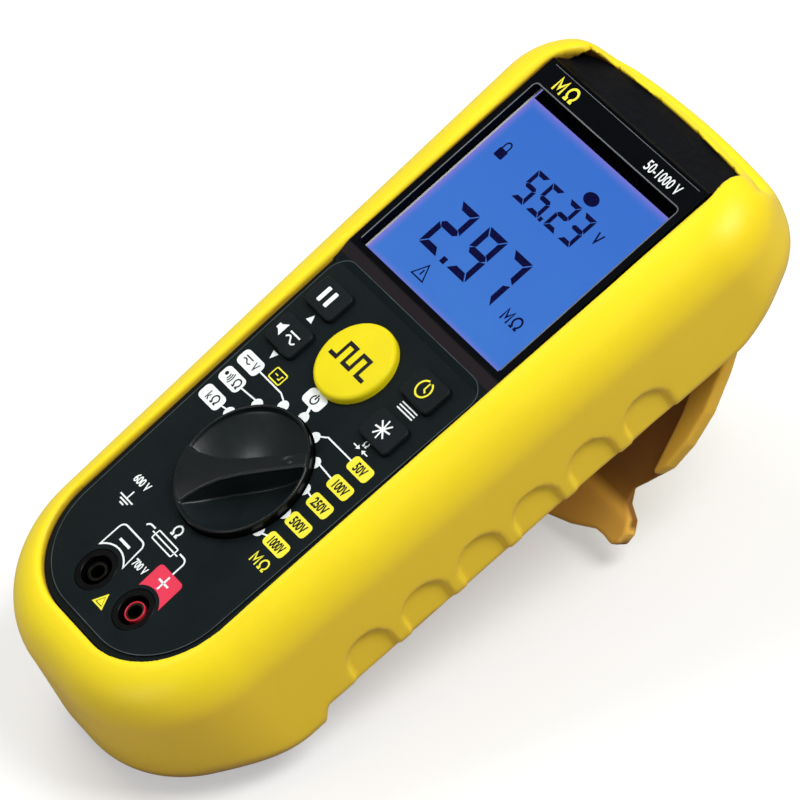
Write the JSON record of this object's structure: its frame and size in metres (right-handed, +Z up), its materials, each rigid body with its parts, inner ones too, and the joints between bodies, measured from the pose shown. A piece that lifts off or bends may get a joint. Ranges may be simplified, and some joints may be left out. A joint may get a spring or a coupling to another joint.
{
  "type": "insulation resistance tester",
  "caption": "Hand-held insulation resistance tester in a yellow rubber holster with a fold-out tilt stand, lit display, range knob, press button, keys and two safety sockets.",
  "frame": {"origin": "middle of the flat on the holster's heel, where the tester rests on the table", "axes": "+Z up; +Y level, from the socket end towards the display end; +X to the right of the person using it. The face is tilted back 17.9 degrees about X."},
  "size_m": [0.1044, 0.2129, 0.103],
  "materials": {
    "holster_rubber": "satin moulded rubber, yellow",
    "case_plastic": "finely textured dark slate",
    "bezel_plastic": "smooth near black",
    "key_rubber": "matt dark slate",
    "knob_plastic": "satin dark slate",
    "test_yellow": "matt yellow",
    "display_blue": "lit blue liquid crystal",
    "lens_glass": "clear",
    "white_plastic": "moulded off-white",
    "seal_rubber": "matt silicone",
    "steel": "plain",
    "contact_brass": "plated",
    "socket_black": "smooth black",
    "socket_red": "smooth red",
    "board_green": "lacquered board",
    "chip_black": "moulded",
    "ferrite_grey": "sintered",
    "coil_copper": "enamelled wire",
    "sleeve_blue": "shrunk sleeve",
    "fuse_ceramic": "glazed",
    "cell_jacket": "printed jacket, plain colour"
  },
  "bodies": {
    "tester": {"holster": "holster_rubber", "stand_pin": "steel", "front_case": "case_plastic", "rear_case": "case_plastic", "case_gasket": "seal_rubber", "case_screws": "steel", "display_bezel": "bezel_plastic", "display_lens": "lens_glass", "lcd_frame": "white_plastic", "lcd_panel": "display_blue", "lcd_backlight": "white_plastic", "lcd_connectors": "seal_rubber", "keypad_mat": "seal_rubber", "tact_switches": "steel", "detent_spring": "steel", "com_socket": "socket_black", "plus_socket": "socket_black", "com_socket_post": "socket_black", "plus_socket_post": "socket_red", "com_contact": "contact_brass", "plus_contact": "contact_brass", "circuit_board": "board_green", "board_screws": "steel", "processor_chip": "chip_black", "hv_transformer": "ferrite_grey", "transformer_coil": "coil_copper", "hv_capacitors": "sleeve_blue", "fuse": "fuse_ceramic", "fuse_clips": "contact_brass", "buzzer": "chip_black", "range_relay": "white_plastic", "battery_tray": "case_plastic", "battery_cells": "cell_jacket", "battery_springs": "steel", "battery_studs": "steel", "battery_cover": "case_plastic", "cover_screws": "steel"},
    "stand": {"tilt_stand": "holster_rubber"},
    "knob": {"range_knob": "knob_plastic", "knob_screw": "steel", "switch_rotor": "white_plastic", "rotor_wipers": "contact_brass"},
    "test_button": {"test_button": "test_yellow"},
    "hold_key": {"hold_key": "key_rubber"},
    "range_key": {"range_key": "key_rubber"},
    "timer_key": {"timer_key": "key_rubber"},
    "backlight_key": {"backlight_key": "key_rubber"}
  },
  "joints": [
    {"name": "stand_hinge", "type": "hinge", "parent": "tester", "child": "stand", "pos_m": [0, 0.17552, 0.06166], "axis": [1, 0, 0], "range_deg": [-30, 0]},
    {"name": "knob_turn", "type": "hinge", "parent": "tester", "child": "knob", "pos_m": [0, 0.05027, 0.05966], "axis": [0, -0.3074, 0.9516], "range_deg": [-67.5, 112.5]},
    {"name": "test_press", "type": "slide", "parent": "tester", "child": "test_button", "axis": [0, 0.3074, -0.9516], "range_m": [0, 0.0008], "stiffness_N_per_m": 2500},
    {"name": "hold_press", "type": "slide", "parent": "tester", "child": "hold_key", "axis": [0, 0.3074, -0.9516], "range_m": [0, 0.0008], "stiffness_N_per_m": 2500},
    {"name": "range_press", "type": "slide", "parent": "tester", "child": "range_key", "axis": [0, 0.3074, -0.9516], "range_m": [0, 0.0008], "stiffness_N_per_m": 2500},
    {"name": "timer_press", "type": "slide", "parent": "tester", "child": "timer_key", "axis": [0, 0.3074, -0.9516], "range_m": [0, 0.0008], "stiffness_N_per_m": 2500},
    {"name": "backlight_press", "type": "slide", "parent": "tester", "child": "backlight_key", "axis": [0, 0.3074, -0.9516], "range_m": [0, 0.0008], "stiffness_N_per_m": 2500}
  ]
}
